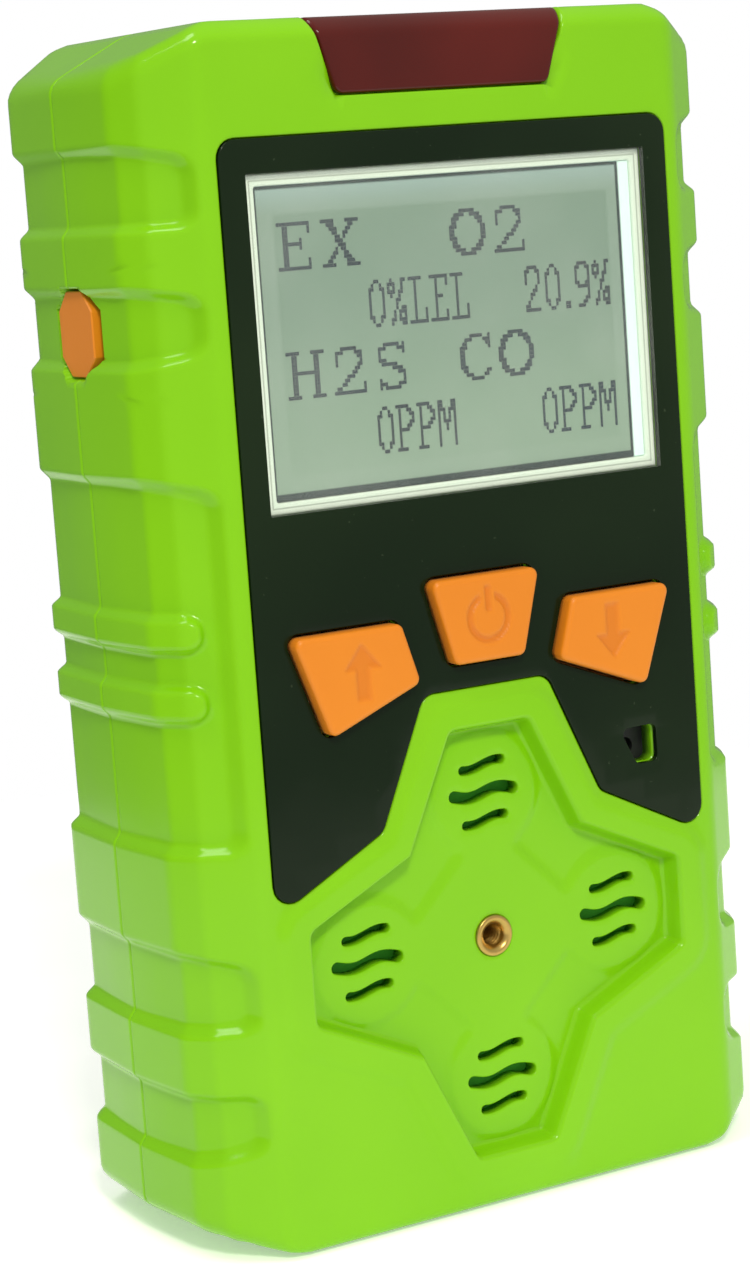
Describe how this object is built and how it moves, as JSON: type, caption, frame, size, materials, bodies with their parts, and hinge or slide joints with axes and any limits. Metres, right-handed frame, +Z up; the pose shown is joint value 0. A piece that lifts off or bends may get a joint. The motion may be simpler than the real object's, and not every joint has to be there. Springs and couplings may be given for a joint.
{
  "type": "portable gas detector",
  "caption": "Hand-held multi-gas detector: banded case, display window, three keys, wavy sensor grilles, alarm lens on top and a sprung belt clip behind.",
  "frame": {"origin": "middle of the base of the whole object's box, with the belt clip included in its depth", "axes": "+Z up along the case, -Y the way the display faces, +X to the right of someone reading the display"},
  "size_m": [0.0752, 0.0522, 0.13],
  "materials": {
    "lime_shell": "glossy moulded ABS, lime green",
    "red_lens": "dark red translucent polycarbonate",
    "black_overlay": "glossy black printed sheet",
    "clear_window": "clear acrylic",
    "white_frame": "moulded white frame",
    "display_glass": "grey-green liquid crystal glass",
    "backlight": "white light guide",
    "amber_film": "polyimide film",
    "orange_silicone": "satin silicone",
    "grey_silicone": "matt silicone",
    "black_plastic": "moulded nylon",
    "circuit_board": "solder mask on glass fibre",
    "steel": "plated steel",
    "clip_steel": "brushed stainless sheet",
    "spring_steel": "drawn spring wire",
    "sensor_white": "moulded cell body",
    "filter_cloth": "dark green porous membrane",
    "brass": "turned brass",
    "tungsten": "sintered weight",
    "led_clear": "clear epoxy",
    "battery_wrap": "foil pouch",
    "foam_tape": "foam tape"
  },
  "bodies": {
    "case": {"alarm_board": "circuit_board", "alarm_leds": "led_clear", "alarm_lens": "red_lens", "battery_cell": "battery_wrap", "battery_tape": "foam_tape", "board_chips": "black_plastic", "board_ribbon": "amber_film", "board_screws": "steel", "buzzer": "black_plastic", "case_inserts": "brass", "case_screws": "steel", "case_seal": "grey_silicone", "charge_board": "circuit_board", "clip_base": "clip_steel", "clip_pin": "steel", "clip_screws": "steel", "clip_spring": "spring_steel", "display_backlight": "backlight", "display_frame": "white_frame", "display_glass": "display_glass", "display_ribbon": "amber_film", "display_window": "clear_window", "dust_filters": "filter_cloth", "front_shell": "lime_shell", "keypad_sheet": "grey_silicone", "main_board": "circuit_board", "panel_overlay": "black_overlay", "rear_shell": "lime_shell", "sensor_board": "circuit_board", "sensor_carbon_monoxide": "sensor_white", "sensor_combustible": "sensor_white", "sensor_hydrogen_sulfide": "sensor_white", "sensor_oxygen": "sensor_white", "sensor_seals": "grey_silicone", "switch_bodies": "black_plastic", "thread_insert": "brass", "usb_socket": "steel", "vibration_motor": "steel"},
    "key_up": {"key_up": "orange_silicone", "switch_plunger_up": "black_plastic"},
    "key_power": {"key_power": "orange_silicone", "switch_plunger_power": "black_plastic"},
    "key_down": {"key_down": "orange_silicone", "switch_plunger_down": "black_plastic"},
    "port_plug": {"port_plug": "orange_silicone"},
    "clip_jaw": {"clip_jaw": "clip_steel"},
    "motor_weight": {"motor_weight": "tungsten"}
  },
  "joints": [
    {"name": "key_up_press", "type": "slide", "parent": "case", "child": "key_up", "axis": [0, 1, 0], "range_m": [0, 0.0007], "stiffness_N_per_m": 2000},
    {"name": "key_power_press", "type": "slide", "parent": "case", "child": "key_power", "axis": [0, 1, 0], "range_m": [0, 0.0007], "stiffness_N_per_m": 2000},
    {"name": "key_down_press", "type": "slide", "parent": "case", "child": "key_down", "axis": [0, 1, 0], "range_m": [0, 0.0007], "stiffness_N_per_m": 2000},
    {"name": "port_plug_pull", "type": "slide", "parent": "case", "child": "port_plug", "axis": [-1, 0, 0], "range_m": [0, 0.008]},
    {"name": "clip_open", "type": "hinge", "parent": "case", "child": "clip_jaw", "pos_m": [0, 0.01985, 0.078], "axis": [1, 0, 0], "range_deg": [0, 22], "stiffness_Nm_per_rad": 0.4, "springref_deg": -20.05},
    {"name": "motor_spin", "type": "hinge", "parent": "case", "child": "motor_weight", "pos_m": [0.02, 0.00525, 0.03], "axis": [1, 0, 0], "continuous": true}
  ]
}
